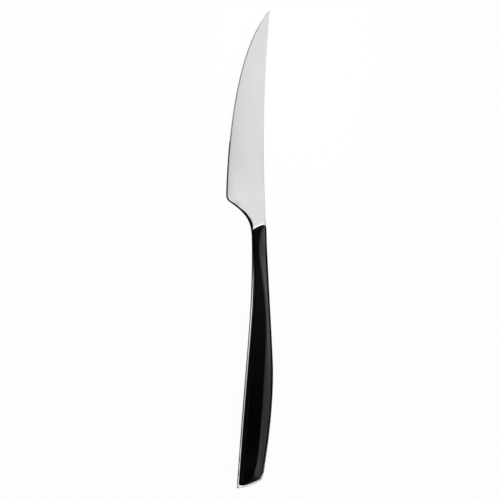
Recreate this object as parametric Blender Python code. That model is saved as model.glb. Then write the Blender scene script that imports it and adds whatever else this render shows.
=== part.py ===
"""Table knife: an upswept fine-toothed blade forged in one piece with its neck and full tang, and two
black scales on the tang. It lies on its back face: +X is the spine side, +Y the tip, +Z up."""

import bmesh
import bpy
import numpy as np
from mathutils import Vector
from mathutils.geometry import interpolate_bezier

# The drawing is in millimetres, and the meshes are in metres
MM = 0.001

# Outline of the steel from above: each line is one cubic curve, as knot, handle, handle, knot
CUTTING_EDGE = [(9.35, 117.5), (-6.7, 99.4), (-10.75, 55.7), (-11.58, 27.5)]
HEEL = [(-11.58, 27.5), (-11.6, 25.3), (-11.0, 24.25), (-9.6, 23.3)]
CHOIL = [(-9.6, 23.3), (0.75, 16.4), (1.12, 12.0), (1.12, 1.0)]
GRIP_BELLY = [(1.12, 1.0), (1.12, -34.5), (-1.2, -43.2), (-6.28, -116.6)]
SPINE = [(9.9, 117.5), (8.95, 103.2), (7.05, 89.3), (7.05, 50.0)]
GRIP_BACK = [(7.05, 50.0), (7.05, 16.6), (11.58, -48.4), (11.58, -60.0)]
GRIP_BACK_END = [(11.58, -60.0), (11.58, -84.0), (7.4, -106.5), (6.75, -111.3)]
BUTT_HEEL = [(-6.28, -116.6), (-6.32, -117.4), (-6.0, -117.55), (-5.2, -117.48)]
BUTT = [(-5.2, -117.48), (-1.5, -117.1), (3.3, -115.2), (5.5, -113.6)]
BUTT_CORNER = [(5.5, -113.6), (6.2, -113.1), (6.55, -112.5), (6.75, -111.3)]

# Half thicknesses of the steel, from its middle plane
SPINE_AT_HEEL = 0.95
SPINE_AT_TIP = 0.5
BEVEL_SHOULDER = 0.17
NECK_HALF = 2.4
GRIP_HALF = 2.05
TANG_HALF = 1.4

# Rounding and grinding of the steel's edges: how far in from the outline each one reaches
BEVEL_WIDTH = 0.75
SPINE_ROUND = 0.35
SPINE_ROUND_AT_NECK = 0.6
NECK_ROUND = 2.6
GRIP_ROUND = 0.42
GRIP_DIP = 0.27
BUTT_ROUND = 2.0
NECK_CENTRE = (4.6, 6.0)
NECK_FLOW = 19.0
NECK_FULL = 4.2

# Fine teeth from near the tip to the start of the plain edge
TOOTH_PITCH = 1.2
TOOTH_DEPTH = 0.28
TOOTH_TIP_CUT = 0.05
TEETH_END_Y = 53.3
TEETH_START_Y = 115.0

# Scales: steel left showing beside them, and their top, a long flat land between two shoulders
RIM_AT_NECK = 0.3
RIM_ALONG_BELLY = 1.04
RIM_AT_BUTT = 0.88
RIM_ALONG_BACK = 0.1
PROUD_AT_NECK = 0.1
RIM_AT_BUTT_CORNER = 0.5
SCALE_TOP_Y = 9.5
SCALE_LOW_Y = -113.9
SCALE_SIDE_TOP = 1.85
SCALE_EDGE_ROUND = 0.8
SCALE_END_ROUND = 0.15
CREST = 3.9
CREST_AT_NECK = 3.0
CREST_AT_BUTT = 3.0
NECK_RAMP = 22.0
BUTT_RAMP = 12.0
LAND_AT_NECK = [(7.4, 12.1), (3.4, 9.2), (1.0, 5.6), (2.7, -1.0)]
LAND_AT_WAIST = [(2.7, -1.0), (4.5, -8.0), (8.0, -24.5), (7.6, -41.0)]
LAND_TO_BUTT = [(7.6, -41.0), (7.2, -55.0), (4.8, -92.0), (2.8, -106.5)]
LAND_AT_BUTT = [(2.8, -106.5), (2.2, -110.8), (0.2, -113.5), (-2.5, -115.7)]
BELLY_SHOULDER = 0.17
SHOULDER_SLOPE = 0.5
BELLY_DROP = 1.5

# Fixing of the scales: adhesive bed, hidden pins and the clearances between pieces
SEAT_CLEARANCE = 0.06
LAYER_GAP = 0.03
BOND_THICKNESS = 0.15
BOND_INSET = 0.5
PIN_RADIUS = 1.5
PIN_HALF_LENGTH = 2.5
PIN_CLEARANCE = 0.06
PIN_ROWS = {"neck_pin": -14.0, "middle_pin": -56.0, "butt_pin": -98.0}

MIDDLE_PLANE = CREST
BOND_BOTTOM = TANG_HALF + LAYER_GAP
SCALE_BOTTOM = BOND_BOTTOM + BOND_THICKNESS + LAYER_GAP


def ease(t):
    """0 to 1 with a soft start and end."""
    t = np.clip(t, 0.0, 1.0)
    return t * t * (3.0 - 2.0 * t)


def bend(t):
    """0 to 1 with a soft start, bending over more and more."""
    return np.clip(t, 0.0, 1.0) ** 2


def quarter_round(t):
    """Height of a quarter circle at a share t of its width."""
    return np.sqrt(1.0 - (1.0 - np.clip(t, 0.0, 1.0)) ** 2)


def curve(*cubics, steps=24):
    """One line of points along cubic curves that follow each other."""
    line = [cubics[0][0]]
    for cubic in cubics:
        line += [tuple(p) for p in interpolate_bezier(*map(Vector, cubic), steps)][1:]
    return np.array(line)


BELLY = curve(CUTTING_EDGE, HEEL, CHOIL, GRIP_BELLY)
BACK = curve(SPINE, GRIP_BACK, GRIP_BACK_END)
BUTT_LINE = curve(BUTT_HEEL, BUTT, BUTT_CORNER)
LAND_EDGE = curve(LAND_AT_NECK, LAND_AT_WAIST, LAND_TO_BUTT, LAND_AT_BUTT)


def x_on(line, y):
    """X of a line that runs down the knife, at height y."""
    return np.interp(-np.asarray(y), -line[:, 1], line[:, 0])


def distance_to(line, points):
    """Shortest distance from each point to a line."""
    start, run = line[:-1], np.diff(line, axis=0)
    apart = points[:, None] - start
    share = np.clip((apart * run).sum(-1) / (run**2).sum(-1), 0.0, 1.0)
    return np.linalg.norm(apart - share[..., None] * run, axis=-1).min(axis=1)


def patch(left, right, top, bottom, across, down):
    """Grid of points between four lines. Each row of across has the shares from left to right."""
    rows = []
    for v, shares in zip(down, across):
        u = shares[:, None]
        sides = (1 - u) * along(left, v) + u * along(right, v)
        ends = (1 - v) * along(top, shares) + v * along(bottom, shares)
        corners = (1 - v) * ((1 - u) * top[0] + u * top[-1])
        corners = corners + v * ((1 - u) * bottom[0] + u * bottom[-1])
        rows.append(sides + ends - corners)
    return np.array(rows)


def along(line, shares):
    """Points of a line at shares of its length."""
    length = np.append(0.0, np.cumsum(np.linalg.norm(np.diff(line, axis=0), axis=1)))
    shares = np.asarray(shares) * length[-1]
    return np.stack([np.interp(shares, length, line[:, k]) for k in (0, 1)], axis=-1)


def material(name, colour, metallic, roughness):
    made = bpy.data.materials.new(name)
    made.use_nodes = True
    shader = made.node_tree.nodes["Principled BSDF"]
    shader.inputs["Base Color"].default_value = (*colour, 1.0)
    shader.inputs["Metallic"].default_value = metallic
    shader.inputs["Roughness"].default_value = roughness
    return made


def place(name, mesh, look=None):
    """Object of a finished bmesh, drawn about the middle plane in millimetres."""
    bmesh.ops.recalc_face_normals(mesh, faces=mesh.faces)
    bmesh.ops.translate(mesh, verts=mesh.verts, vec=(0, 0, MIDDLE_PLANE))
    bmesh.ops.scale(mesh, verts=mesh.verts, vec=(MM, MM, MM))
    data = bpy.data.meshes.new(name)
    mesh.to_mesh(data)
    mesh.free()
    made = bpy.data.objects.new(name, data)
    bpy.context.collection.objects.link(made)
    if look:
        data.materials.append(look)
    else:
        made.hide_render = True
        made.display_type = "WIRE"
    return made


def cut(target, cutter):
    step = target.modifiers.new("cut " + cutter.name, "BOOLEAN")
    step.operation = "DIFFERENCE"
    step.solver = "EXACT"
    step.object = cutter


def prism(outlines, *levels):
    """Closed prism through one or more outlines of as many points, each at its own height."""
    mesh = bmesh.new()
    rings = []
    for height, line in zip(levels, outlines):
        rings.append([mesh.verts.new((x, y, height)) for x, y in line])
    for low, high in zip(rings, rings[1:]):
        for k in range(len(low)):
            mesh.faces.new((low[k - 1], low[k], high[k], high[k - 1]))
    mesh.faces.new(rings[0])
    mesh.faces.new(rings[-1])
    return mesh


def offset(outline, distance):
    """A closed outline moved outwards. Its points run clockwise from above, as the scale's do."""
    ahead = np.roll(outline, -1, axis=0) - np.roll(outline, 1, axis=0)
    outward = np.stack([-ahead[:, 1], ahead[:, 0]], axis=1)
    outward /= np.linalg.norm(outward, axis=1)[:, None]
    return outline + outward * np.broadcast_to(distance, len(outline))[:, None]


def half_steel(points):
    """Half thickness of the steel at points of its outline's inside."""
    x, y = points[:, 0], points[:, 1]
    to_edge = distance_to(BELLY, points)
    to_back = distance_to(BACK, points)
    to_butt = distance_to(BUTT_LINE, points)
    share = to_edge / np.maximum(to_edge + to_back, 1e-6)
    toward_tip = ease((y - 20.0) / 98.0)
    spine = SPINE_AT_HEEL + (SPINE_AT_TIP - SPINE_AT_HEEL) * toward_tip
    blade = BEVEL_SHOULDER + (spine - BEVEL_SHOULDER) * share
    grip = NECK_HALF + (GRIP_HALF - NECK_HALF) * ease((4.0 - y) / 20.0)
    reach = np.hypot(x - NECK_CENTRE[0], np.maximum(y - NECK_CENTRE[1], 0.0))
    rise = np.clip((NECK_FLOW - reach) / (NECK_FLOW - NECK_FULL), 0.0, 1.0)
    neck = np.where(y > NECK_CENTRE[1], rise**2 * (2.0 - rise), 1.0)
    side_round = NECK_ROUND + (GRIP_ROUND - NECK_ROUND) * ease((15.0 - y) / 8.0)
    dip = GRIP_DIP * ease((14.0 - y) / 48.0)
    grip = grip - dip * np.clip(to_edge - side_round, 0.0, 0.6)
    thick = blade + (grip - blade) * neck
    edge_width = BEVEL_WIDTH + (side_round - BEVEL_WIDTH) * neck
    bevel = np.clip(to_edge / edge_width, 0.0, 1.0)
    rounded = ease(neck / 0.4)
    edge = bevel + (quarter_round(to_edge / edge_width) - bevel) * rounded
    back = quarter_round(to_back / (SPINE_ROUND + (SPINE_ROUND_AT_NECK - SPINE_ROUND) * neck))
    return thick * edge * back * quarter_round(to_butt / BUTT_ROUND)


def steel_grid():
    """Rows of points over the steel's outline, from tip to butt, closer where it bends."""
    heights = np.concatenate(
        [
            np.linspace(117.5, 108.0, 9)[:-1],
            np.linspace(108.0, 30.0, 25)[:-1],
            np.linspace(30.0, 8.0, 31)[:-1],
            np.linspace(8.0, -107.0, 27)[:-1],
            BELLY[-1, 1] + 9.6 * np.array([1.0, 0.78, 0.55, 0.35, 0.22, 0.13, 0.07, 0.03, 0.0]),
        ]
    )
    rows = []
    for y in heights:
        turn = ease((-78.0 - y) / (-78.0 - BELLY[-1, 1]))
        y_back = y + turn * (BACK[-1, 1] - BELLY[-1, 1])
        left = np.array([x_on(BELLY, y), y])
        right = np.array([x_on(BACK, y_back), y_back])
        width = right[0] - left[0]
        slope = (x_on(BELLY, y - 0.2) - x_on(BELLY, y + 0.2)) / 0.4
        lean = min(np.hypot(1.0, slope), 2.2)
        fit = min(1.0, width / (4.0 * lean))
        near_edge = np.array([0.0, 0.1, 0.35, BEVEL_WIDTH]) * lean * fit / width
        near_back = 1.0 - np.array([0.6, 0.25, 0.06, 0.0]) * fit / width
        middle = near_edge[-1] + (near_back[0] - near_edge[-1]) * np.linspace(0.0, 1.0, 8)[1:-1]
        u = np.concatenate([near_edge, middle, near_back])[:, None]
        bow = along(BUTT_LINE, u[:, 0]) - ((1 - u) * BUTT_LINE[0] + u * BUTT_LINE[-1])
        rows.append((1 - u) * left + u * right + turn**3 * bow)
    return np.array(rows)


def two_faced(grid, height):
    """Closed mesh with the grid as its front face and its mirror image as its back face."""
    mesh = bmesh.new()
    rows, columns = grid.shape[:2]
    front, back = {}, {}
    for i in range(rows):
        for j in range(columns):
            x, y = grid[i, j]
            on_rim = i in (0, rows - 1) or j in (0, columns - 1)
            z = 0.0 if on_rim else height[i, j]
            front[i, j] = mesh.verts.new((x, y, z))
            back[i, j] = front[i, j] if on_rim else mesh.verts.new((x, y, -z))
    for i in range(rows - 1):
        for j in range(columns - 1):
            corners = [(i, j), (i + 1, j), (i + 1, j + 1), (i, j + 1)]
            for side in (front, back):
                mesh.faces.new([side[c] for c in corners])
    return mesh


def scale_lines():
    """The four lines of a scale's outline: belly side, back side, neck end and butt end."""
    y = np.linspace(SCALE_TOP_Y, SCALE_LOW_Y, 60)
    rim = RIM_AT_NECK + (RIM_ALONG_BELLY - RIM_AT_NECK) * ease((3.0 - y) / 20.0)
    rim = rim + (RIM_AT_BUTT - RIM_ALONG_BELLY) * ease((-60.0 - y) / 54.0)
    left = np.stack([x_on(BELLY, y) + rim, y], axis=1)
    y = np.linspace(11.0, -110.2, 60)
    rim = RIM_ALONG_BACK + (RIM_AT_BUTT_CORNER - RIM_ALONG_BACK) * ease((-75.0 - y) / 35.0)
    rim = rim - (RIM_ALONG_BACK + PROUD_AT_NECK) * ease(y / 8.0)
    right = np.stack([x_on(BACK, y) - rim, y], axis=1)
    a, b = tuple(left[0]), tuple(right[0])
    top = curve(
        [a, (3.0, 10.95), (5.2, 12.0), (6.5, 12.27)],
        [(6.5, 12.27), (7.05, 12.38), (b[0] - 0.1, 12.2), b],
        steps=16,
    )
    a, b = tuple(left[-1]), tuple(right[-1])
    bottom = curve(
        [a, (a[0] - 0.1, -115.05), (-5.0, -115.74), (-3.9, -115.81)],
        [(-3.9, -115.81), (-1.9, -115.93), (2.3, -114.05), (4.75, -112.52)],
        [(4.75, -112.52), (5.45, -112.09), (5.9, -111.35), b],
        steps=12,
    )
    return left, right, top, bottom


def scale_outline(lines):
    left, right, top, bottom = lines
    return np.concatenate([top[:-1], right[:-1], bottom[::-1][:-1], left[::-1][:-1]])


def scale_height(points, lines):
    """Top of a scale above the middle plane: its land, shoulders, ends that run down and rolled edge."""
    left, right, top, bottom = lines
    x, y = points[:, 0], points[:, 1]
    x_left, x_right, x_land = x_on(left, y), x_on(right, y), x_on(LAND_EDGE, y)
    to_neck = ease(1.0 - distance_to(top, points) / NECK_RAMP)
    to_butt = bend(1.0 - distance_to(bottom, points) / BUTT_RAMP)
    crown = CREST - (CREST - CREST_AT_NECK) * to_neck - (CREST - CREST_AT_BUTT) * to_butt
    width = np.maximum(x_right - x_land, 0.1)
    fall = 0.5 * SHOULDER_SLOPE * width * bend((x - x_land) / width)
    fall = fall + BELLY_DROP * bend(1.0 - (x - x_left) / (BELLY_SHOULDER * (x_right - x_left)))
    crown = crown - fall * (1.0 - 0.5 * to_neck - 0.5 * to_butt)
    roll = np.ones(len(points))
    for line, reach in zip(lines, 2 * [SCALE_EDGE_ROUND] + 2 * [SCALE_END_ROUND]):
        roll = np.minimum(roll, quarter_round(distance_to(line, points) / reach))
    return SCALE_SIDE_TOP + (crown - SCALE_SIDE_TOP) * roll


def scale_mesh(lines, side):
    """A scale on the front face (side 1) or the back face (side -1)."""
    left, right, top, bottom = lines
    ends = np.array([0.0, 0.05, 0.2, 0.45, 1.5, 4.0, 8.5])
    length = SCALE_TOP_Y - SCALE_LOW_Y
    down = np.concatenate([ends / length, np.linspace(0.1, 0.9, 25), 1.0 - ends[::-1] / length])
    across = []
    for v in down:
        width = along(right, v)[0] - along(left, v)[0]
        edge = SCALE_EDGE_ROUND * np.array([0.0, 0.06, 0.25, 0.56, 1.0]) / width
        middle = 0.5 * (along(left, v) + along(right, v))
        land = (x_on(LAND_EDGE, middle[1]) - along(left, v)[0] - 0.6) / width
        land = np.clip(land, 0.4, 0.75)
        belly = np.linspace(edge[-1], 1.3 * BELLY_SHOULDER, 4)[1:]
        spine = land + (1.0 - edge[-1] - land) * np.array([0.28, 0.42, 0.58, 0.78])
        lands = np.concatenate([belly, [0.5 * (belly[-1] + land), land], spine])
        across.append(np.concatenate([edge, lands, 1.0 - edge[::-1]]))
    grid = patch(left, right, top, bottom, across, down)
    rows, columns = grid.shape[:2]
    height = scale_height(grid.reshape(-1, 2), lines).reshape(rows, columns)
    height[0] = height[-1] = height[:, 0] = height[:, -1] = SCALE_SIDE_TOP
    mesh = bmesh.new()
    crown = [
        [mesh.verts.new((*grid[i, j], side * height[i, j])) for j in range(columns)]
        for i in range(rows)
    ]
    for upper, lower in zip(crown, crown[1:]):
        for j in range(columns - 1):
            mesh.faces.new((upper[j], lower[j], lower[j + 1], upper[j + 1]))
    border = crown[0][:-1] + [row[-1] for row in crown[:-1]]
    border += crown[-1][:0:-1] + [row[0] for row in crown[:0:-1]]
    foot = [mesh.verts.new((v.co.x, v.co.y, side * SCALE_BOTTOM)) for v in border]
    for k in range(len(border)):
        mesh.faces.new((border[k - 1], border[k], foot[k], foot[k - 1]))
    mesh.faces.new(foot)
    return mesh


def seat_cutter(lines, side):
    """What is milled off one face of the tang to seat a scale, open at the back."""
    outline = scale_outline(lines)
    on_back = np.isin(np.arange(len(outline)), np.arange(len(lines[2]), len(lines[2]) + 48))
    wide = np.where(on_back, 2.0, SEAT_CLEARANCE)
    wall = offset(outline, wide)
    return prism((wall, wall), side * TANG_HALF, side * CREST)


def tooth_cutter():
    """The scalloped strip that is ground off the cutting edge to leave the fine teeth."""
    fine = curve(CUTTING_EDGE, steps=200)
    fine = fine[(fine[:, 1] < TEETH_START_Y) & (fine[:, 1] > TEETH_END_Y)]
    length = np.linalg.norm(np.diff(fine, axis=0), axis=1).sum()
    count = round(length / TOOTH_PITCH)
    shares = np.linspace(0.0, 1.0, 6 * count + 1)
    ahead = along(fine, np.minimum(shares + 0.004, 1.0)) - along(fine, np.maximum(shares - 0.004, 0.0))
    outward = np.stack([ahead[:, 1], -ahead[:, 0]], axis=1)
    outward /= np.linalg.norm(outward, axis=1)[:, None]
    in_tooth = 2.0 * ((shares * count) % 1.0) - 1.0
    depth = TOOTH_TIP_CUT + TOOTH_DEPTH * (1.0 - in_tooth**2)
    inner = along(fine, shares) - outward * depth[:, None]
    outer = (along(fine, shares) + outward * 1.5)[::-6]
    strip = np.concatenate([inner, outer])
    return prism((strip, strip), -1.0, 1.0)


def circle(centre, radius, count):
    turn = np.linspace(0.0, 2.0 * np.pi, count, endpoint=False)
    return np.stack([centre[0] + radius * np.cos(turn), centre[1] - radius * np.sin(turn)], axis=1)


def pin_place(y, lines):
    """Middle of the tang at height y."""
    return (0.5 * (x_on(lines[0], y) + x_on(lines[1], y)), y)


def build():
    for thing in list(bpy.data.objects):
        bpy.data.objects.remove(thing)
    steel = material("forged_stainless_steel", (0.64, 0.64, 0.64), 1.0, 0.3)
    black = material("black_moulded_polymer", (0.006, 0.006, 0.007), 0.0, 0.14)
    epoxy = material("grey_epoxy", (0.05, 0.05, 0.05), 0.0, 0.5)
    dowel = material("drawn_brass", (0.78, 0.57, 0.25), 1.0, 0.35)
    lines = scale_lines()

    grid = steel_grid()
    height = half_steel(grid.reshape(-1, 2)).reshape(grid.shape[:2])
    blade = place("blade_and_tang", two_faced(grid, height), steel)
    cut(blade, place("tooth_cutter", tooth_cutter()))
    for side, face in ((1, "front"), (-1, "back")):
        cut(blade, place(face + "_seat_cutter", seat_cutter(lines, side)))

    holes = {}
    for name, y in PIN_ROWS.items():
        middle = pin_place(y, lines)
        reach = PIN_HALF_LENGTH + PIN_CLEARANCE
        rim = circle(middle, PIN_RADIUS + PIN_CLEARANCE, 20)
        holes[name] = place(name + "_hole", prism((rim, rim), -reach, reach))
        chamfered = (circle(middle, PIN_RADIUS - 0.25, 20), circle(middle, PIN_RADIUS, 20))
        levels = (-PIN_HALF_LENGTH, 0.25 - PIN_HALF_LENGTH, PIN_HALF_LENGTH - 0.25, PIN_HALF_LENGTH)
        place(name, prism(chamfered + chamfered[::-1], *levels), dowel)
        cut(blade, holes[name])

    bed = offset(scale_outline(lines), -BOND_INSET)
    for side, face in ((1, "front"), (-1, "back")):
        scale = place(face + "_scale", scale_mesh(lines, side), black)
        levels = (side * BOND_BOTTOM, side * (BOND_BOTTOM + BOND_THICKNESS))
        bond = place(face + "_bond", prism((bed, bed), *levels), epoxy)
        for hole in holes.values():
            cut(scale, hole)
            cut(bond, hole)


build()
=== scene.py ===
"""Looks of the table knife: a satin steel blade forged in one piece with its neck and tang, and gloss
black scales on both faces. It lies on a white sweep and is seen from straight above."""

import math

import bpy
import numpy as np
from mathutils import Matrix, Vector
from mathutils.geometry import interpolate_bezier


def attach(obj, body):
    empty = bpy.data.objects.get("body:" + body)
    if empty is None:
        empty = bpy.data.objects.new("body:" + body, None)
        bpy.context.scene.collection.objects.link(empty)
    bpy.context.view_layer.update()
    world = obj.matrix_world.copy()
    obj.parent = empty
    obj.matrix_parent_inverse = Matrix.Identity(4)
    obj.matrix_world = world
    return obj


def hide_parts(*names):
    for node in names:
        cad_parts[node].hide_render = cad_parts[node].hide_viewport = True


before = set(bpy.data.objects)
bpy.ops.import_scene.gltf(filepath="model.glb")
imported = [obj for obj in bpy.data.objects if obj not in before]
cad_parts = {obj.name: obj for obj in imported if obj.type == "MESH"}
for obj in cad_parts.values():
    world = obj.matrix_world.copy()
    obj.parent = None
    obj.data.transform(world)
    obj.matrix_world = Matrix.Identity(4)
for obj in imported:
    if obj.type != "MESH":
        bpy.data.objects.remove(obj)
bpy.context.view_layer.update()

# The drawing is in millimetres, and the meshes are in metres
MM = 0.001

# How many points are measured at a time, how many steps each curve is drawn with, and over how many
# degrees an edge stays sharp
POINTS_AT_A_TIME = 4000
CURVE_STEPS = 60
TOOTHED_STEPS = 400
SCALE_END_STEPS = 30
STEEL_CREASE = 30.0
SCALE_CREASE = 40.0

# Outline of the steel from above: each line is one cubic curve, as knot, handle, handle, knot
CUTTING_EDGE = [(9.35, 117.5), (-6.7, 99.4), (-10.75, 55.7), (-11.58, 27.5)]
HEEL = [(-11.58, 27.5), (-11.6, 25.3), (-11.0, 24.25), (-9.6, 23.3)]
CHOIL = [(-9.6, 23.3), (0.75, 16.4), (1.12, 12.0), (1.12, 1.0)]
GRIP_BELLY = [(1.12, 1.0), (1.12, -34.5), (-1.2, -43.2), (-6.28, -116.6)]
SPINE = [(9.9, 117.5), (8.95, 103.2), (7.05, 89.3), (7.05, 50.0)]
GRIP_BACK = [(7.05, 50.0), (7.05, 16.6), (11.58, -48.4), (11.58, -60.0)]
GRIP_BACK_END = [(11.58, -60.0), (11.58, -84.0), (7.4, -106.5), (6.75, -111.3)]
BUTT_HEEL = [(-6.28, -116.6), (-6.32, -117.4), (-6.0, -117.55), (-5.2, -117.48)]
BUTT = [(-5.2, -117.48), (-1.5, -117.1), (3.3, -115.2), (5.5, -113.6)]
BUTT_CORNER = [(5.5, -113.6), (6.2, -113.1), (6.55, -112.5), (6.75, -111.3)]

# Half thicknesses of the steel, from its middle plane
SPINE_AT_HEEL = 0.95
SPINE_AT_TIP = 0.5
BEVEL_SHOULDER = 0.17
NECK_HALF = 2.4
GRIP_HALF = 2.05
TANG_HALF = 1.4
EDGE_HALF = 0.02

# Finer grinding: the share taken off at the point, and the fall toward the edge beside the heel
POINT_GRIND = 0.6
POINT_LENGTH = 8.0
HEEL_SWELL = 0.1
HEEL_REACH = 4.0

# Rounding and grinding of the steel's edges: how far in from the outline each one reaches
BEVEL_WIDTH = 0.75
SPINE_ROUND = 0.35
SPINE_ROUND_AT_NECK = 0.6
NECK_ROUND = 2.6
GRIP_ROUND = 0.42
BUTT_ROUND = 2.0

# Swell of the neck: its centre, how far out it starts and where it is full, and the shares of it at which
# the ground bevel ends and the edge is fully rounded
NECK_CENTRE = (4.6, 6.0)
NECK_FLOW = 19.0
NECK_FULL = 4.2
BEVEL_END_SHARE = 0.1
NECK_ROUND_SHARE = 0.4

# Slope and width of the grip's rim where it falls toward the scale, and of the lip at the seat's neck end
GRIP_DIP = 0.27
GRIP_DIP_WIDTH = 0.6
LIP_EASE = 0.08
LIP_WIDTH = 0.6

# Fine teeth from near the tip to the start of the plain edge
TOOTH_PITCH = 1.2
TOOTH_DEPTH = 0.28
TOOTH_TIP_CUT = 0.05
TEETH_END_Y = 53.3
TEETH_START_Y = 115.0

# Where along the knife the steel changes, each from its start to its end, and where the rows of its grid
# start to turn toward the butt's slant
BLADE_TAPERS = (20.0, 118.0)
POINT_THINS = (TEETH_START_Y - POINT_LENGTH, TEETH_START_Y)
HEEL_SWELLS = (45.0, 25.0)
NECK_THINS = (4.0, -16.0)
SIDE_SHARPENS = (15.0, 7.0)
RIM_DIPS = (14.0, -34.0)
ROWS_TURN = -78.0

# Scales: steel left showing beside them, and where it widens and narrows along the knife
RIM_AT_NECK = 0.3
RIM_ALONG_BELLY = 1.04
RIM_AT_BUTT = 0.88
RIM_ALONG_BACK = 0.1
PROUD_AT_NECK = 0.1
RIM_AT_BUTT_CORNER = 0.5
BELLY_RIM_WIDENS = (3.0, -17.0)
BELLY_RIM_NARROWS = (-60.0, -114.0)
BACK_RIM_WIDENS = (-75.0, -110.0)
SCALE_STANDS_PROUD = (0.0, 8.0)
SCALE_BELLY_Y = (9.5, -113.9)
SCALE_BACK_Y = (11.0, -110.2)

# Ends of the scales: points of the cubic curves between the ends of their side lines, then how far along X
# and at which Y the handle beside a side line lies
NECK_END = [(3.0, 10.95), (5.2, 12.0), (6.5, 12.27), (7.05, 12.38)]
BUTT_END = [(-5.0, -115.74), (-3.9, -115.81), (-1.9, -115.93), (2.3, -114.05), (4.75, -112.52)]
BUTT_END += [(5.45, -112.09), (5.9, -111.35)]
END_HANDLE = 0.1
NECK_HANDLE_Y = 12.2
BUTT_HANDLE_Y = -115.05

# Top of the scales, a long flat land between two shoulders
SCALE_BOTTOM = 1.61
SCALE_SIDE_TOP = 1.85
SCALE_EDGE_ROUND = 0.8
SCALE_END_ROUND = 0.15
CREST = 3.9
CREST_AT_NECK = 3.0
CREST_AT_BUTT = 3.0
NECK_RAMP = 22.0
BUTT_RAMP = 12.0
LAND_AT_NECK = [(7.4, 12.1), (3.4, 9.2), (1.0, 5.6), (2.7, -1.0)]
LAND_AT_WAIST = [(2.7, -1.0), (4.5, -8.0), (8.0, -24.5), (7.6, -41.0)]
LAND_TO_BUTT = [(7.6, -41.0), (7.2, -55.0), (4.8, -92.0), (2.8, -106.5)]
LAND_AT_BUTT = [(2.8, -106.5), (2.2, -110.8), (0.2, -113.5), (-2.5, -115.7)]
BELLY_SHOULDER = 0.17
SHOULDER_SLOPE = 0.5
LEAST_SHOULDER = 0.1
BELLY_DROP = 1.5
LESS_AT_ENDS = 0.5

# Seats milled for the scales: the clearance round them, how far the cut runs out past the back, and
# along how many points of the scale's back line
SEAT_CLEARANCE = 0.06
SEAT_PAST_BACK = 2.0
SEAT_OPEN_POINTS = 96

# Grid of the steel: its rows as start, end and count, then its columns. Points crowd toward the sides
# and the butt by a power, and the bands of close ones widen where the edge slants and shrink at the tip
STEEL_ROWS = [(117.5, 30.0, 460), (30.0, 8.0, 110), (8.0, -104.0, 140)]
BUTT_ROWS = 60
BUTT_CROWDING = 1.6
EDGE_COLUMNS = 17
MIDDLE_COLUMNS = 22
BACK_COLUMNS = 12
BACK_BAND = 0.7
SIDE_CROWDING = 1.7
LEAN_STEP = 0.2
MOST_LEAN = 2.2
NARROW_WIDTH = 4.0

# Grid of a scale: points along its side lines, rows and columns, and the close ones at its rolled edge
# with the widths that they fill
SCALE_LINE_POINTS = 120
SCALE_ROWS = 200
SCALE_COLUMNS = 56
ROLLED_ROWS = 22
ROLLED_COLUMNS = 12
ROLLED_END = 2.0
ROLLED_SIDE = 0.5

# Camera straight above: the picture's width, the size of a pixel on the knife, the middle, and the lens
PICTURE_PIXELS = 500
PIXEL = 0.49204
PICTURE_MIDDLE = (0.22, -0.10)
LENS = 120.0
SENSOR = 36.0

# Soft boxes: place, point that each faces, width and length, and brightness, where 1 is white
SOFT_BOXES = {
    "box_over_blade": ((20.0, 107.0, 70.0), (20.0, 107.0, 0.0), (90.0, 186.0), 1.1),
    "right_box": ((960.0, -40.0, 555.0), (0.0, -40.0, 0.0), (1000.0, 450.0), 1.2),
    "front_box": ((250.0, -1150.0, 1000.0), (250.0, -60.0, 0.0), (1100.0, 1000.0), 1.6),
}

# Floor: half its width, how far it lies below the knife, and the share of plain white that no shadow dims
FLOOR_HALF = 3000.0
FLOOR_DROP = 0.05
FLOOR_WHITE = 0.96

# Shades on the floor beside the knife: how far out their lines lie, and the brightness of the outer ones
# with the share of it that is left beside the blade
FOOT_STEPS = (0.05, 4.0, 6.5, 17.0)
FOOT_HEIGHT = 0.02
FOOT_FAR = 0.45
FOOT_FAR_AT_BLADE = 0.2
FOOT_FADES = (-8.0, 8.0)

# Shades that stand beside the knife: how high they start and end, how far away they are, and how bright.
# A pair for the belly side is beside the handle and beside the blade
FLAG_LOW = 3.6
SHADED_BELLY_Y = 58.0
SHADED_BELLY_END = (-6.6, -120.0)
HANDLE_TO_BLADE = (8.0, 24.0)
BELLY_FLAG_AWAY = (3.4, 0.45)
BELLY_FLAG_TOP = (16.0, 5.8)
BELLY_SHADE_LIFTS = (-22.0, 0.0)
BELLY_FLAG_GLOW = 0.04
BELLY_FOOT_GLOW = 0.1
SHADED_BACK_Y = 16.0
BACK_FLAG_AWAY = 3.4
BACK_FLAG_TOP = 11.0
BACK_SHADE_ALONG = [(-80.0, 0.12), (-65.0, 0.0), (11.3, 0.0), (13.5, 0.9)]

# How the sky dims upwards: between two heights in degrees, and down to which level
SKY_STEPS = [((4.0, 12.0), 0.5), ((50.0, 68.0), 0.02)]

# Band card over the handle. Along it: a place in millimetres, and the brightness there of its inner side,
# which the rim mirrors, and of its outer side, which the pad mirrors. Across it, for each of its lines: the
# place, how it leans, how far it is stretched, and its share of the brightness
BAND_ALONG = [(60, 0.8, 0.8), (14, 0.75, 0.75), (4, 1.5, 1.7), (-15, 0.95, 2.0), (-45, 0.85, 1.85)]
BAND_ALONG += [(-62, 0.95, 1.05), (-85, 1.0, 0.76), (-108, 1.5, 0.86), (-118, 1.7, 1.05)]
BAND_ALONG += [(-128, 1.4, 0.95), (-138, 0.1, 0.1), (-180, 0.0, 0.0)]
BAND_ACROSS = [(14.3, 0.025, 1.0, 0.4), (23, 0, 1.02, 0.8), (28, 0, 1.03, 0.95), (50, 0, 1.08, 1.0)]
BAND_ACROSS += [(90, 0, 1.18, 1.0)]
BAND_INNER_LINES = 2
BAND_HEIGHT = 55.0

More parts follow.
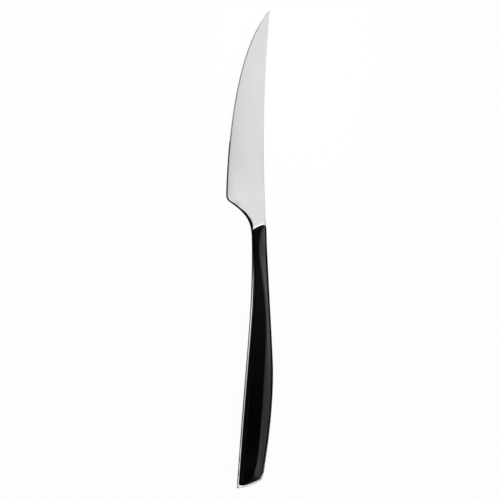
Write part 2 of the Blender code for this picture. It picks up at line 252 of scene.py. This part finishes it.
# Card high over the knife, with places and brightness along it, and a small one over the lip of the seat
OVERHEAD_ALONG = [(60, 0.0), (25, 0.06), (5, 0.1), (-15, 0.12), (-55, 0.07), (-85, 0.02), (-115, 0.01)]
OVERHEAD_ALONG += [(-122, 0.03), (-150, 0.06)]
OVERHEAD_ACROSS = (-25.0, 40.0)
OVERHEAD_HEIGHT = 200.0
LIP_ALONG = (14.0, 17.0)
LIP_ACROSS = (-6.0, 11.0)
LIP_HEIGHT = 30.0
LIP_GLOW = 1.9


def ease(t):
    """0 to 1 with a soft start and end."""
    t = np.clip(t, 0.0, 1.0)
    return t * t * (3.0 - 2.0 * t)


def change(y, start, end):
    """0 to 1 along the knife from a start to an end, with a soft start and end."""
    return ease((y - start) / (end - start))


def quarter_round(t):
    """Height of a quarter circle at a share t of its width."""
    return np.sqrt(1.0 - (1.0 - np.clip(t, 0.0, 1.0)) ** 2)


def curve(*cubics, steps=CURVE_STEPS):
    """One line of points along cubic curves that follow each other."""
    line = [cubics[0][0]]
    for cubic in cubics:
        line += [tuple(p) for p in interpolate_bezier(*map(Vector, cubic), steps)][1:]
    return np.array(line)


BELLY = curve(CUTTING_EDGE, HEEL, CHOIL, GRIP_BELLY)
BACK = curve(SPINE, GRIP_BACK, GRIP_BACK_END)
BUTT_LINE = curve(BUTT_HEEL, BUTT, BUTT_CORNER)
LAND_EDGE = curve(LAND_AT_NECK, LAND_AT_WAIST, LAND_TO_BUTT, LAND_AT_BUTT)


def x_on(line, y):
    """X of a line that runs down the knife, at height y."""
    return np.interp(-np.asarray(y), -line[:, 1], line[:, 0])


def distance_to(line, points):
    """Shortest distance from each point to a line, a few thousand points at a time."""
    start, run = line[:-1], np.diff(line, axis=0)
    found = []
    for some in np.array_split(points, len(points) // POINTS_AT_A_TIME + 1):
        away = some[:, None] - start
        share = np.clip((away * run).sum(-1) / (run**2).sum(-1), 0.0, 1.0)
        found.append(np.linalg.norm(away - share[..., None] * run, axis=-1).min(axis=1))
    return np.concatenate(found)


def along(line, shares):
    """Points of a line at shares of its length."""
    length = np.append(0.0, np.cumsum(np.linalg.norm(np.diff(line, axis=0), axis=1)))
    shares = np.asarray(shares) * length[-1]
    return np.stack([np.interp(shares, length, line[:, k]) for k in (0, 1)], axis=-1)


def offset(outline, distance):
    """A closed outline moved outwards. Its points run clockwise from above, as the scale's do."""
    ahead = np.roll(outline, -1, axis=0) - np.roll(outline, 1, axis=0)
    outward = np.stack([-ahead[:, 1], ahead[:, 0]], axis=1)
    outward /= np.linalg.norm(outward, axis=1)[:, None]
    return outline + outward * np.broadcast_to(distance, len(outline))[:, None]


def neck_share(points):
    """1 on the grip. It falls along the neck, to a soft 0 where the blade's flat grind starts."""
    x, y = points[:, 0], points[:, 1]
    reach = np.hypot(x - NECK_CENTRE[0], np.maximum(y - NECK_CENTRE[1], 0.0))
    rise = np.clip((NECK_FLOW - reach) / (NECK_FLOW - NECK_FULL), 0.0, 1.0)
    return np.where(y > NECK_CENTRE[1], rise**2 * (2.0 - rise), 1.0)


def half_steel(points, seat_end):
    """Half thickness of the steel at points of its outline's inside."""
    y = points[:, 1]
    to_edge = distance_to(BELLY, points)
    to_back = distance_to(BACK, points)
    to_butt = distance_to(BUTT_LINE, points)
    share = to_edge / np.maximum(to_edge + to_back, 1e-6)
    spine = SPINE_AT_HEEL + (SPINE_AT_TIP - SPINE_AT_HEEL) * change(y, *BLADE_TAPERS)
    spine = spine * (1.0 - POINT_GRIND * change(y, *POINT_THINS))
    blade = BEVEL_SHOULDER + (spine - BEVEL_SHOULDER) * share
    blade = blade + HEEL_SWELL * ease(to_edge / HEEL_REACH) * change(y, *HEEL_SWELLS)
    grip = NECK_HALF + (GRIP_HALF - NECK_HALF) * change(y, *NECK_THINS)
    neck = neck_share(points)
    side_round = NECK_ROUND + (GRIP_ROUND - NECK_ROUND) * change(y, *SIDE_SHARPENS)
    dip = GRIP_DIP * change(y, *RIM_DIPS)
    grip = grip - dip * np.clip(to_edge - side_round, 0.0, GRIP_DIP_WIDTH)
    thick = blade + (grip - blade) * neck
    thick = thick - LIP_EASE * np.clip(LIP_WIDTH - distance_to(seat_end, points), 0.0, LIP_WIDTH)
    edge_width = BEVEL_WIDTH + (side_round - BEVEL_WIDTH) * neck
    bevel = np.clip(to_edge / edge_width, 0.0, 1.0)
    rounded = ease(neck / NECK_ROUND_SHARE)
    edge = bevel + (quarter_round(to_edge / edge_width) - bevel) * rounded
    back = quarter_round(to_back / (SPINE_ROUND + (SPINE_ROUND_AT_NECK - SPINE_ROUND) * neck))
    return thick * edge * back * quarter_round(to_butt / BUTT_ROUND)


def toothed(edge):
    """Points of the cutting edge moved in by the fine teeth, which are scallops side by side."""
    fine = curve(CUTTING_EDGE, steps=TOOTHED_STEPS)
    run = np.append(0.0, np.cumsum(np.linalg.norm(np.diff(fine, axis=0), axis=1)))
    place = np.interp(-edge[:, 1], -fine[:, 1], run)
    first, last = np.interp([-TEETH_START_Y, -TEETH_END_Y], -fine[:, 1], run)
    count = round((last - first) / TOOTH_PITCH)
    in_tooth = 2.0 * ((place - first) / (last - first) * count % 1.0) - 1.0
    depth = TOOTH_TIP_CUT + TOOTH_DEPTH * (1.0 - in_tooth**2)
    depth = np.where((place > first) & (place < last), depth, 0.0)
    ahead = np.gradient(edge, axis=0)
    inward = np.stack([-ahead[:, 1], ahead[:, 0]], axis=1)
    inward /= np.linalg.norm(inward, axis=1)[:, None]
    return edge + inward * depth[:, None]


def steel_grid():
    """Rows of points over the steel's outline, from tip to butt, closer where it bends."""
    low, turn_low = BELLY[-1, 1], STEEL_ROWS[-1][1]
    heights = [np.linspace(start, end, count)[:-1] for start, end, count in STEEL_ROWS]
    heights.append(low + (turn_low - low) * np.linspace(1.0, 0.0, BUTT_ROWS) ** BUTT_CROWDING)
    heights = np.concatenate(heights)
    edge = toothed(np.stack([x_on(BELLY, heights), heights], axis=1))
    rows = []
    for y, left in zip(heights, edge):
        turn = change(y, ROWS_TURN, low)
        y_back = y + turn * (BACK[-1, 1] - low)
        right = np.array([x_on(BACK, y_back), y_back])
        width = right[0] - left[0]
        slope = (x_on(BELLY, y - LEAN_STEP) - x_on(BELLY, y + LEAN_STEP)) / (2.0 * LEAN_STEP)
        lean = min(np.hypot(1.0, slope), MOST_LEAN)
        fit = min(1.0, width / (NARROW_WIDTH * lean))
        near_edge = NECK_ROUND * np.linspace(0.0, 1.0, EDGE_COLUMNS) ** SIDE_CROWDING * lean * fit / width
        near_back = 1.0 - BACK_BAND * np.linspace(1.0, 0.0, BACK_COLUMNS) ** SIDE_CROWDING * fit / width
        middle = np.linspace(near_edge[-1], near_back[0], MIDDLE_COLUMNS)[1:-1]
        u = np.concatenate([near_edge, middle, near_back])[:, None]
        bow = along(BUTT_LINE, u[:, 0]) - ((1 - u) * BUTT_LINE[0] + u * BUTT_LINE[-1])
        rows.append((1 - u) * left + u * right + turn**3 * bow)
    return np.array(rows)


def scale_lines():
    """The four lines of a scale's outline: belly side, back side, neck end and butt end."""
    y = np.linspace(*SCALE_BELLY_Y, SCALE_LINE_POINTS)
    rim = RIM_AT_NECK + (RIM_ALONG_BELLY - RIM_AT_NECK) * change(y, *BELLY_RIM_WIDENS)
    rim = rim + (RIM_AT_BUTT - RIM_ALONG_BELLY) * change(y, *BELLY_RIM_NARROWS)
    left = np.stack([x_on(BELLY, y) + rim, y], axis=1)
    y = np.linspace(*SCALE_BACK_Y, SCALE_LINE_POINTS)
    rim = RIM_ALONG_BACK + (RIM_AT_BUTT_CORNER - RIM_ALONG_BACK) * change(y, *BACK_RIM_WIDENS)
    rim = rim - (RIM_ALONG_BACK + PROUD_AT_NECK) * change(y, *SCALE_STANDS_PROUD)
    right = np.stack([x_on(BACK, y) - rim, y], axis=1)
    a, b = tuple(left[0]), tuple(right[0])
    handle = (b[0] - END_HANDLE, NECK_HANDLE_Y)
    top = curve([a, *NECK_END[:3]], [*NECK_END[2:], handle, b], steps=SCALE_END_STEPS)
    a, b = tuple(left[-1]), tuple(right[-1])
    handle = (a[0] - END_HANDLE, BUTT_HANDLE_Y)
    cubics = [a, handle, *BUTT_END[:2]], BUTT_END[1:5], [*BUTT_END[4:], b]
    bottom = curve(*cubics, steps=SCALE_END_STEPS)
    return left, right, top, bottom


def scale_outline(lines):
    left, right, top, bottom = lines
    return np.concatenate([top[:-1], right[:-1], bottom[::-1][:-1], left[::-1][:-1]])


def bend(t):
    """0 to 1 with a soft start, bending over more and more."""
    return np.clip(t, 0.0, 1.0) ** 2


def scale_height(points, lines):
    """Top of a scale above the middle plane: its land, shoulders, ends that run down and rolled edge."""
    left, right, top, bottom = lines
    x, y = points[:, 0], points[:, 1]
    x_left, x_right, x_land = x_on(left, y), x_on(right, y), x_on(LAND_EDGE, y)
    to_neck = ease(1.0 - distance_to(top, points) / NECK_RAMP)
    to_butt = bend(1.0 - distance_to(bottom, points) / BUTT_RAMP)
    crown = CREST - (CREST - CREST_AT_NECK) * to_neck - (CREST - CREST_AT_BUTT) * to_butt
    width = np.maximum(x_right - x_land, LEAST_SHOULDER)
    fall = 0.5 * SHOULDER_SLOPE * width * bend((x - x_land) / width)
    fall = fall + BELLY_DROP * bend(1.0 - (x - x_left) / (BELLY_SHOULDER * (x_right - x_left)))
    crown = crown - fall * (1.0 - LESS_AT_ENDS * to_neck - LESS_AT_ENDS * to_butt)
    roll = np.ones(len(points))
    for line, reach in zip(lines, 2 * [SCALE_EDGE_ROUND] + 2 * [SCALE_END_ROUND]):
        roll = np.minimum(roll, quarter_round(distance_to(line, points) / reach))
    return SCALE_SIDE_TOP + (crown - SCALE_SIDE_TOP) * roll


def scale_grid(lines):
    """Rows of points over a scale's outline, close together where its edge is rolled over."""
    left, right, top, bottom = lines
    length = SCALE_BELLY_Y[0] - SCALE_BELLY_Y[1]
    end = ROLLED_END * np.linspace(0.0, 1.0, ROLLED_ROWS) ** 2 / length
    between = np.linspace(end[-1], 1.0 - end[-1], SCALE_ROWS)[1:-1]
    down = np.concatenate([end, between, 1.0 - end[::-1]])
    rows = []
    for v in down:
        width = along(right, v)[0] - along(left, v)[0]
        side = ROLLED_SIDE * np.linspace(0.0, 1.0, ROLLED_COLUMNS) ** 2 / width
        between = np.linspace(side[-1], 1.0 - side[-1], SCALE_COLUMNS)[1:-1]
        shares = np.concatenate([side, between, 1.0 - side[::-1]])
        u = shares[:, None]
        sides = (1 - u) * along(left, v) + u * along(right, v)
        ends = (1 - v) * along(top, shares) + v * along(bottom, shares)
        corners = (1 - v) * ((1 - u) * top[0] + u * top[-1])
        corners = corners + v * ((1 - u) * bottom[0] + u * bottom[-1])
        rows.append(sides + ends - corners)
    return np.array(rows)


def closed_piece(name, upper, lower):
    """Object closed round two grids of points, one above the other, drawn in millimetres."""
    rows, columns = upper.shape[:2]
    index = np.arange(rows * columns).reshape(rows, columns)
    over = np.stack([index[:-1, :-1], index[1:, :-1], index[1:, 1:], index[:-1, 1:]], axis=-1)
    over = over.reshape(-1, 4)
    under = over[:, ::-1] + rows * columns
    border = np.concatenate([index[0, :-1], index[:-1, -1], index[-1, :0:-1], index[:0:-1, 0]])
    after = np.roll(border, -1)
    wall = np.stack([border, after, after + rows * columns, border + rows * columns], axis=-1)
    points = np.concatenate([upper.reshape(-1, 3), lower.reshape(-1, 3)])
    points = (points + (0.0, 0.0, CREST)) * MM
    mesh = bpy.data.meshes.new(name)
    mesh.from_pydata(points.tolist(), [], np.concatenate([over, under, wall]).tolist())
    made = bpy.data.objects.new(name, mesh)
    bpy.context.scene.collection.objects.link(made)
    return made


def with_height(grid, height):
    return np.concatenate([grid, np.broadcast_to(height, grid.shape[:2])[..., None]], axis=-1)


def seat_cutter(lines, side):
    """What is milled off one face of the tang to seat a scale, open at the back."""
    outline = scale_outline(lines)
    place = np.arange(len(outline)) - len(lines[2])
    on_back = (place >= 0) & (place < SEAT_OPEN_POINTS)
    wide = np.where(on_back, SEAT_PAST_BACK, SEAT_CLEARANCE)
    rings = [with_height(offset(outline, wide)[None], side * z)[0] for z in (TANG_HALF, CREST)]
    count = len(outline)
    points = (np.concatenate(rings) + (0.0, 0.0, CREST)) * MM
    faces = [list(range(count))[::side], list(range(count, 2 * count))[::-side]]
    for here in range(count):
        after = (here + 1) % count
        faces.append([here, after, after + count, here + count][::-side])
    mesh = bpy.data.meshes.new("seat")
    mesh.from_pydata(points.tolist(), [], faces)
    made = bpy.data.objects.new("seat", mesh)
    bpy.context.scene.collection.objects.link(made)
    return made


def cut_seats(steel, lines):
    """Mills both seats out of the steel and leaves it as one plain mesh."""
    cutters = [seat_cutter(lines, side) for side in (1, -1)]
    for cutter in cutters:
        step = steel.modifiers.new("seat", "BOOLEAN")
        step.operation = "DIFFERENCE"
        step.solver = "EXACT"
        step.object = cutter
    bpy.context.view_layer.update()
    evaluated = steel.evaluated_get(bpy.context.evaluated_depsgraph_get())
    milled = bpy.data.meshes.new_from_object(evaluated)
    steel.modifiers.clear()
    steel.data = milled
    for cutter in cutters:
        bpy.data.objects.remove(cutter)


def smooth(piece, sharp_over_degrees):
    piece.data.shade_smooth()
    piece.data.set_sharp_from_angle(angle=math.radians(sharp_over_degrees))


def keep_distance(piece, *edges):
    """Stores how far each point is from the piece's edges, in millimetres, for the wear in its material."""
    points = np.empty(len(piece.data.vertices) * 3)
    piece.data.vertices.foreach_get("co", points)
    flat = points.reshape(-1, 3)[:, :2] / MM
    nearest = np.min([distance_to(edge, flat) for edge in edges], axis=0)
    piece.data.attributes.new("from_edge", "FLOAT", "POINT").data.foreach_set("value", nearest)


def mark_ground_edge(steel):
    """Gives the ground bevel along the cutting edge the second material."""
    middles = np.array([face.center[:2] for face in steel.data.polygons]) / MM
    on_bevel = (middles[:, 1] > HEEL[-1][1]) & (distance_to(BELLY, middles) < BEVEL_WIDTH)
    on_bevel &= neck_share(middles) < BEVEL_END_SHARE
    steel.data.polygons.foreach_set("material_index", on_bevel.astype(np.int32))


def make_blade_and_tang(lines):
    grid = steel_grid()
    height = half_steel(grid.reshape(-1, 2), lines[2]).reshape(grid.shape[:2])
    height = np.maximum(height, EDGE_HALF)
    made = closed_piece("forged_blade", with_height(grid, height), with_height(grid, -height))
    cut_seats(made, lines)
    smooth(made, STEEL_CREASE)
    keep_distance(made, BELLY, BACK, BUTT_LINE)
    made.data.materials.append(belted_stainless())
    made.data.materials.append(ground_stainless_painted_shade())
    mark_ground_edge(made)
    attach(made, "root")
    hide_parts("blade_and_tang")


def make_scale(name, node, lines, side, look):
    grid = scale_grid(lines)
    height = scale_height(grid.reshape(-1, 2), lines).reshape(grid.shape[:2])
    height[0] = height[-1] = height[:, 0] = height[:, -1] = SCALE_SIDE_TOP
    top, bed = with_height(grid, side * height), with_height(grid, side * SCALE_BOTTOM)
    made = closed_piece(name, *(top, bed)[::side])
    smooth(made, SCALE_CREASE)
    outline = scale_outline(lines)
    keep_distance(made, np.concatenate([outline, outline[:1]]))
    made.data.materials.append(look)
    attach(made, "root")
    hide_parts(node)


def linear(hex_colour):
    """sRGB hex as a linear colour."""
    parts = [int(hex_colour[k : k + 2], 16) / 255.0 for k in (1, 3, 5)]
    return [p / 12.92 if p <= 0.04045 else ((p + 0.055) / 1.055) ** 2.4 for p in parts] + [1.0]


def set_inputs(tree, node, inputs):
    """Sets inputs by name or place: a socket is linked, and anything else is a value."""
    for key, value in inputs.items():
        if isinstance(value, bpy.types.NodeSocket):
            tree.links.new(value, node.inputs[key])
        else:
            node.inputs[key].default_value = value


def add_node(tree, kind, inputs, **settings):
    """Adds a node with its settings and inputs, and gives its outputs."""
    made = tree.nodes.new(kind)
    for name, value in settings.items():
        setattr(made, name, value)
    set_inputs(tree, made, inputs)
    return made.outputs


def new_material(name):
    made = bpy.data.materials.new(name)
    made.use_nodes = True
    return made, made.node_tree, made.node_tree.nodes["Principled BSDF"]


def streaks(tree, across, length, turn_degrees=0.0, detail=2.0):
    """Noise drawn out along the knife: the mean width and length of a streak are in millimetres."""
    place = add_node(tree, "ShaderNodeTexCoord", {})["Object"]
    turn = (0.0, 0.0, math.radians(turn_degrees))
    turned = add_node(tree, "ShaderNodeMapping", {"Vector": place, "Rotation": turn})[0]
    size = (1.0 / (across * MM), 1.0 / (length * MM), 1.0 / (across * MM))
    drawn = add_node(tree, "ShaderNodeVectorMath", {0: turned, 1: size}, operation="MULTIPLY")[0]
    noise = {"Vector": drawn, "Scale": 1.0, "Detail": detail, "Roughness": 0.6}
    return add_node(tree, "ShaderNodeTexNoise", noise)[0]


def belted_stainless():
    # Stainless steel, belted lengthwise to a satin and buffed at the neck and rim: an even pale sheen
    # with faint lines along the blade. Belt lines are about 0.03 mm apart and drawn ten times coarser,
    # and hairlines from use are about 0.02 mm wide and drawn six times coarser.
    made, tree, shader = new_material("belted_satin_stainless")
    lines = streaks(tree, across=0.3, length=30.0)
    hairs = streaks(tree, across=0.12, length=9.0, turn_degrees=7.0)
    hairs = add_node(tree, "ShaderNodeMapRange", {0: hairs, 1: 0.66, 2: 0.74})[0]
    cloud = streaks(tree, across=9.0, length=22.0)
    place = add_node(tree, "ShaderNodeTexCoord", {})["Object"]
    up_blade = add_node(tree, "ShaderNodeSeparateXYZ", {0: place})["Y"]
    worn = add_node(tree, "ShaderNodeAttribute", {}, attribute_name="from_edge")["Fac"]
    buffed = {0: up_blade, 1: 20.0 * MM, 2: 44.0 * MM, 3: 0.09, 4: 0.22}
    buffed = add_node(tree, "ShaderNodeMapRange", buffed)[0]
    depth = {0: up_blade, 1: 24.0 * MM, 2: 44.0 * MM, 3: 0.02, 4: 0.14}
    depth = add_node(tree, "ShaderNodeMapRange", depth)[0]
    worn = add_node(tree, "ShaderNodeMapRange", {0: worn, 1: 0.0, 2: 0.5, 3: 0.0, 4: 0.03})[0]
    rough = add_node(tree, "ShaderNodeMath", {0: buffed, 1: worn}, operation="ADD")[0]
    rough = add_node(tree, "ShaderNodeMath", {0: lines, 1: depth, 2: rough}, operation="MULTIPLY_ADD")[0]
    rough = add_node(tree, "ShaderNodeMath", {0: hairs, 1: 0.05, 2: rough}, operation="MULTIPLY_ADD")[0]
    relief = add_node(tree, "ShaderNodeMath", {0: hairs, 1: -0.6, 2: lines}, operation="MULTIPLY_ADD")[0]
    bump = add_node(tree, "ShaderNodeBump", {"Strength": 0.2, "Distance": 0.004 * MM, "Height": relief})[0]
    colours = {0: cloud, 6: linear("#D8D8D8"), 7: linear("#CECECF")}
    colour = add_node(tree, "ShaderNodeMix", colours, data_type="RGBA")[2]
    set_inputs(tree, shader, {"Base Color": colour, "Metallic": 1.0, "Roughness": rough, "Normal": bump})
    return made


def ground_stainless_painted_shade():
    # The same steel, wet ground across the cutting edge, with brighter lines from the wheel. Its colour is
    # painted shade: darker than the blade's, for the bevel's dark reflection. The wheel's lines are about
    # 0.05 mm apart and drawn five times coarser.
    made, tree, shader = new_material("wet_ground_stainless_painted_shade")
    lines = streaks(tree, across=3.0, length=0.25)
    rough = add_node(tree, "ShaderNodeMapRange", {0: lines, 1: 0.3, 2: 0.7, 3: 0.2, 4: 0.32})[0]
    bump = add_node(tree, "ShaderNodeBump", {"Strength": 0.3, "Distance": 0.006 * MM, "Height": lines})[0]
    # painted shade: the bevel's colour is darker than the blade's, standing in for its dark reflection
    colours = {0: lines, 6: linear("#BEBEC0"), 7: linear("#D2D2D3")}
    colour = add_node(tree, "ShaderNodeMix", colours, data_type="RGBA")[2]
    set_inputs(tree, shader, {"Base Color": colour, "Metallic": 1.0, "Roughness": rough, "Normal": bump})
    return made


def moulded_acetal():
    # Black acetal, moulded in a polished tool: a deep gloss with a faint waviness about 2 mm long, edges
    # rubbed a little dull, and hairlines from use, about 0.025 mm wide and drawn six times coarser.
    made, tree, shader = new_material("gloss_black_moulded_acetal")
    waves = streaks(tree, across=2.0, length=2.5, detail=1.0)
    hairs = streaks(tree, across=0.15, length=7.0, turn_degrees=-16.0)
    hairs = add_node(tree, "ShaderNodeMapRange", {0: hairs, 1: 0.66, 2: 0.74})[0]
    worn = add_node(tree, "ShaderNodeAttribute", {}, attribute_name="from_edge")["Fac"]
    rubbed = add_node(tree, "ShaderNodeMapRange", {0: worn, 1: 0.0, 2: 0.7, 3: 1.0, 4: 0.0})[0]
    rough = add_node(tree, "ShaderNodeMapRange", {0: waves, 1: 0.3, 2: 0.7, 3: 0.06, 4: 0.08})[0]
    rough = add_node(tree, "ShaderNodeMath", {0: hairs, 1: 0.05, 2: rough}, operation="MULTIPLY_ADD")[0]
    rough = add_node(tree, "ShaderNodeMath", {0: rubbed, 1: 0.08, 2: rough}, operation="MULTIPLY_ADD")[0]
    relief = add_node(tree, "ShaderNodeMath", {0: hairs, 1: -0.1, 2: waves}, operation="MULTIPLY_ADD")[0]
    bump = add_node(tree, "ShaderNodeBump", {"Strength": 1.0, "Distance": 0.002 * MM, "Height": relief})[0]
    colours = {0: rubbed, 6: linear("#050506"), 7: linear("#09090A")}
    colour = add_node(tree, "ShaderNodeMix", colours, data_type="RGBA")[2]
    set_inputs(tree, shader, {"Base Color": colour, "Roughness": rough, "IOR": 1.48, "Normal": bump})
    return made


def cured_epoxy():
    # Grey two-part epoxy, squeezed flat and cured: dull, with small lumps about 0.4 mm across.
    made, tree, shader = new_material("cured_grey_epoxy")
    lumps = streaks(tree, across=0.4, length=0.4)
    rough = add_node(tree, "ShaderNodeMapRange", {0: lumps, 1: 0.3, 2: 0.7, 3: 0.45, 4: 0.6})[0]
    bump = add_node(tree, "ShaderNodeBump", {"Strength": 0.3, "Distance": 0.02 * MM, "Height": lumps})[0]
    colours = {0: lumps, 6: linear("#3A3A3A"), 7: linear("#434342")}
    colour = add_node(tree, "ShaderNodeMix", colours, data_type="RGBA")[2]
    set_inputs(tree, shader, {"Base Color": colour, "Roughness": rough, "Normal": bump})
    return made


def drawn_brass():
    # Drawn brass rod: yellow and dulled unevenly, with marks from the die about 0.1 mm across.
    made, tree, shader = new_material("drawn_brass")
    marks = streaks(tree, across=0.1, length=0.1)
    rough = add_node(tree, "ShaderNodeMapRange", {0: marks, 1: 0.3, 2: 0.7, 3: 0.28, 4: 0.4})[0]
    colours = {0: marks, 6: linear("#DDBB78"), 7: linear("#E5C684")}
    colour = add_node(tree, "ShaderNodeMix", colours, data_type="RGBA")[2]
    set_inputs(tree, shader, {"Base Color": colour, "Metallic": 1.0, "Roughness": rough})
    return made


def white_sweep():
    # White card with fibres about 1 mm long, seen as white with a faint soft shadow under the knife
    made, tree, shader = new_material("white_card_sweep")
    path = add_node(tree, "ShaderNodeLightPath", {})
    seen = path["Is Camera Ray"]
    for kind in ("Is Glossy Ray", "Is Transmission Ray"):
        seen = add_node(tree, "ShaderNodeMath", {0: seen, 1: path[kind]}, operation="MAXIMUM")[0]
    share = add_node(tree, "ShaderNodeMath", {0: seen, 1: FLOOR_WHITE}, operation="MULTIPLY")[0]
    fibres = streaks(tree, across=1.0, length=1.0)
    colours = {0: fibres, 6: linear("#FDFDFD"), 7: linear("#FFFFFF")}
    colour = add_node(tree, "ShaderNodeMix", colours, data_type="RGBA")[2]
    set_inputs(tree, shader, {"Base Color": colour, "Roughness": 0.9, "Specular IOR Level": 0.0})
    white = add_node(tree, "ShaderNodeEmission", {"Color": linear("#FFFFFF"), "Strength": 1.0})[0]
    both = add_node(tree, "ShaderNodeMixShader", {0: share, 1: shader.outputs[0], 2: white})[0]
    set_inputs(tree, tree.nodes["Material Output"], {"Surface": both})
    return made


def glowing_card():
    # White card lit from behind, as bright as each of its points says
    made, tree, shader = new_material("lit_white_card")
    glow = add_node(tree, "ShaderNodeAttribute", {}, attribute_name="glow")["Fac"]
    set_inputs(tree, shader, {"Base Color": linear("#000000"), "Specular IOR Level": 0.0})
    set_inputs(tree, shader, {"Emission Color": linear("#FFFFFF"), "Emission Strength": glow})
    return made


def make_floor():
    mesh = bpy.data.meshes.new("sweep")
    half, low = FLOOR_HALF * MM, -FLOOR_DROP * MM
    corners = [(-half, -half, low), (half, -half, low), (half, half, low), (-half, half, low)]
    mesh.from_pydata(corners, [], [(0, 1, 2, 3)])
    made = bpy.data.objects.new("sweep", mesh)
    bpy.context.scene.collection.objects.link(made)
    mesh.materials.append(white_sweep())


def make_camera():
    lens = bpy.data.cameras.new("from_above")
    lens.lens, lens.sensor_width = LENS, SENSOR
    made = bpy.data.objects.new("from_above", lens)
    distance = PICTURE_PIXELS * PIXEL * LENS / SENSOR
    made.location = [v * MM for v in (*PICTURE_MIDDLE, CREST + distance)]
    bpy.context.scene.collection.objects.link(made)
    bpy.context.scene.camera = made


def make_world():
    """A white horizon under a pale sky, dark straight overhead, where the camera hangs."""
    world = bpy.data.worlds.new("studio")
    bpy.context.scene.world = world
    world.use_nodes = True
    tree = world.node_tree
    way = add_node(tree, "ShaderNodeTexCoord", {})["Generated"]
    up = add_node(tree, "ShaderNodeSeparateXYZ", {0: way})["Z"]
    level = 1.0
    for (low, high), dimmed in SKY_STEPS:
        start, end = math.sin(math.radians(low)), math.sin(math.radians(high))
        level = add_node(tree, "ShaderNodeMapRange", {0: up, 1: start, 2: end, 3: level, 4: dimmed})[0]
    set_inputs(tree, tree.nodes["Background"], {"Color": linear("#FFFFFF"), "Strength": level})


def make_lamp(name, place, target, size, radiance):
    """A soft box of an even brightness that faces a point. Places and sizes are in millimetres."""
    light = bpy.data.lights.new(name, "AREA")
    light.shape = "RECTANGLE"
    light.size, light.size_y = size[0] * MM, size[1] * MM
    light.energy = radiance * math.pi * light.size * light.size_y
    made = bpy.data.objects.new(name, light)
    made.location = [v * MM for v in place]
    made.rotation_euler = (Vector(target) - Vector(place)).to_track_quat("-Z", "Y").to_euler()
    made.visible_camera = False
    bpy.context.scene.collection.objects.link(made)


def make_card(name, rails, glow, look):
    """A card between lines of points, seen only in reflections, with a brightness at each of its points."""
    count = len(rails[0])
    faces = []
    for first in range(0, count * (len(rails) - 1), count):
        for k in range(first, first + count - 1):
            faces.append((k, k + 1, k + 1 + count, k + count))
    mesh = bpy.data.meshes.new(name)
    mesh.from_pydata([[v * MM for v in p] for rail in rails for p in rail], [], faces)
    values = np.broadcast_to(glow, (len(rails), count)).ravel()
    mesh.attributes.new("glow", "FLOAT", "POINT").data.foreach_set("value", np.ascontiguousarray(values))
    mesh.materials.append(look)
    made = bpy.data.objects.new(name, mesh)
    bpy.context.scene.collection.objects.link(made)
    made.visible_camera = made.visible_diffuse = made.visible_shadow = False
    made.visible_transmission = made.visible_volume_scatter = False


def beside(line, distance, z):
    """A line moved to its right-hand side as it runs, and lifted to a height."""
    ahead = np.gradient(line, axis=0)
    aside = np.stack([ahead[:, 1], -ahead[:, 0]], axis=1)
    aside /= np.linalg.norm(aside, axis=1)[:, None]
    return with_height((line + aside * np.reshape(distance, (-1, 1)))[None], z)[0].tolist()


def make_cards_above(look):
    """Lit cards over the handle and the neck, which the gloss pad and the steel mirror."""
    places, inner, outer = np.array(BAND_ALONG).T
    rails, glow = [], []
    for x, lean, stretch, share in BAND_ACROSS:
        rails.append([(x + lean * y, stretch * y, BAND_HEIGHT) for y in places])
        glow.append(share * (inner if len(glow) < BAND_INNER_LINES else outer))
    make_card("band_card", rails, glow, look)
    places, glow = np.array(OVERHEAD_ALONG).T
    rails = [[(x, y, OVERHEAD_HEIGHT) for y in places] for x in OVERHEAD_ACROSS]
    make_card("overhead_card", rails, glow, look)
    rails = [[(x, y, LIP_HEIGHT) for y in LIP_ALONG] for x in LIP_ACROSS]
    make_card("lip_card", rails, LIP_GLOW, look)


def make_belly_shades(look):
    """Dark cards beside the belly side, standing and on the floor, for the dark line along it."""
    belly = np.concatenate([BELLY[BELLY[:, 1] < SHADED_BELLY_Y], [SHADED_BELLY_END]])
    y = belly[:, 1]
    shade = np.interp(y, BELLY_SHADE_LIFTS, (1.0, 0.0))
    away = np.interp(y, HANDLE_TO_BLADE, BELLY_FLAG_AWAY)
    top = np.interp(y, HANDLE_TO_BLADE, BELLY_FLAG_TOP)
    rails = [beside(belly, away, z) for z in (FLAG_LOW, top)]
    make_card("belly_flag", rails, BELLY_FLAG_GLOW * shade, look)
    near = BELLY_FOOT_GLOW * shade
    far = FOOT_FAR * np.interp(y, FOOT_FADES, (1.0, FOOT_FAR_AT_BLADE))
    rails = [beside(belly, step, FOOT_HEIGHT) for step in FOOT_STEPS]
    make_card("belly_foot", rails, [near, near, far, far], look)


def make_back_shades(look):
    """Dark cards beside the handle's back, standing and on the floor."""
    back = BACK[BACK[:, 1] < SHADED_BACK_Y]
    near = np.interp(back[:, 1], *np.array(BACK_SHADE_ALONG).T)
    far = np.full(len(back), FOOT_FAR)
    rails = [beside(back, -BACK_FLAG_AWAY, z) for z in (FLAG_LOW, BACK_FLAG_TOP)]
    make_card("back_flag", rails, near, look)
    rails = [beside(back, -step, FOOT_HEIGHT) for step in FOOT_STEPS]
    make_card("back_foot", rails, [near, near, far, far], look)


def make_studio():
    for name, setting in SOFT_BOXES.items():
        make_lamp(name, *setting)
    card = glowing_card()
    make_cards_above(card)
    make_belly_shades(card)
    make_back_shades(card)


lines = scale_lines()
make_blade_and_tang(lines)
black = moulded_acetal()
make_scale("front_pad", "front_scale", lines, 1, black)
make_scale("back_pad", "back_scale", lines, -1, black)
hidden = {"bond": cured_epoxy(), "pin": drawn_brass()}
for name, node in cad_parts.items():
    if name.split("_")[-1] in hidden:
        node.data.materials.clear()
        node.data.materials.append(hidden[name.split("_")[-1]])
make_floor()
make_camera()
make_world()
make_studio()
bpy.context.scene.view_settings.view_transform = "Standard"
